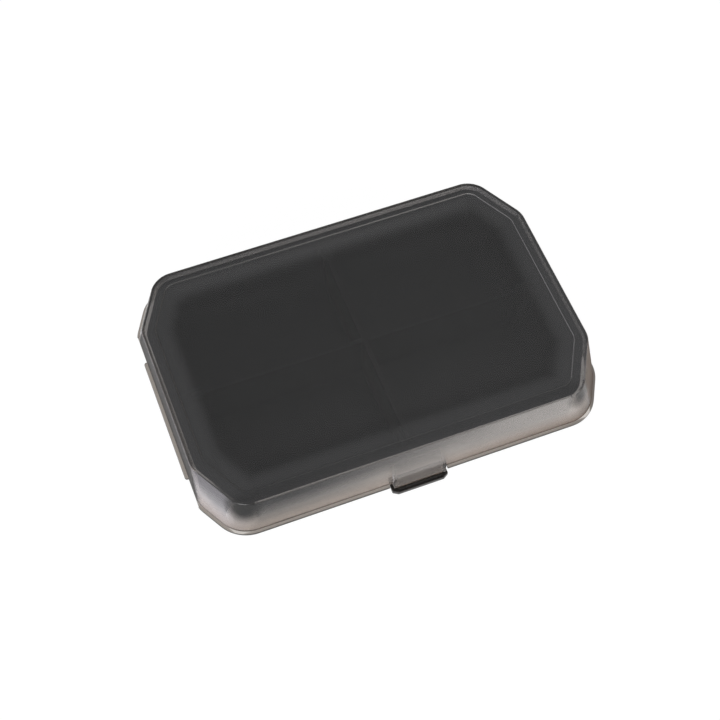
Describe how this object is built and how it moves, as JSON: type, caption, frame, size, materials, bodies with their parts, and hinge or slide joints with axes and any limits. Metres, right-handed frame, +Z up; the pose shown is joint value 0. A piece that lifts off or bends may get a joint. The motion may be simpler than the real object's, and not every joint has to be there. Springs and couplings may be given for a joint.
{
  "type": "tackle box",
  "caption": "Shallow octagonal tackle box with a smoked hinged lid, a black divided compartment tray and a front snap latch.",
  "frame": {"origin": "centre of the flat underside of the base", "axes": "+X along the long side, +Y from the latch at the front towards the hinge at the back, +Z up"},
  "size_m": [0.2047, 0.1536, 0.0361],
  "materials": {
    "smoked_plastic": "smoke-tinted see-through moulding with a satin sheen",
    "hazy_plastic": "pale hazy see-through moulding, a little warm",
    "black_plastic": "fine matt black moulding",
    "latch_plastic": "satin black moulding",
    "pin_steel": "plain drawn steel"
  },
  "bodies": {
    "base": {"base_shell": "hazy_plastic", "compartment_tray": "black_plastic", "long_divider": "black_plastic", "short_divider": "black_plastic", "hinge_pin_left": "pin_steel", "hinge_pin_right": "pin_steel"},
    "lid": {"lid_shell": "smoked_plastic", "latch_pin": "pin_steel"},
    "latch": {"latch_clip": "latch_plastic"}
  },
  "joints": [
    {"name": "lid_hinge", "type": "hinge", "parent": "base", "child": "lid", "pos_m": [0, 0.0754, 0.0165], "axis": [-1, 0, 0], "range_deg": [0, 160]},
    {"name": "latch_pivot", "type": "hinge", "parent": "lid", "child": "latch", "pos_m": [0, -0.0697, 0.0185], "axis": [-1, 0, 0], "range_deg": [0, 20]}
  ]
}
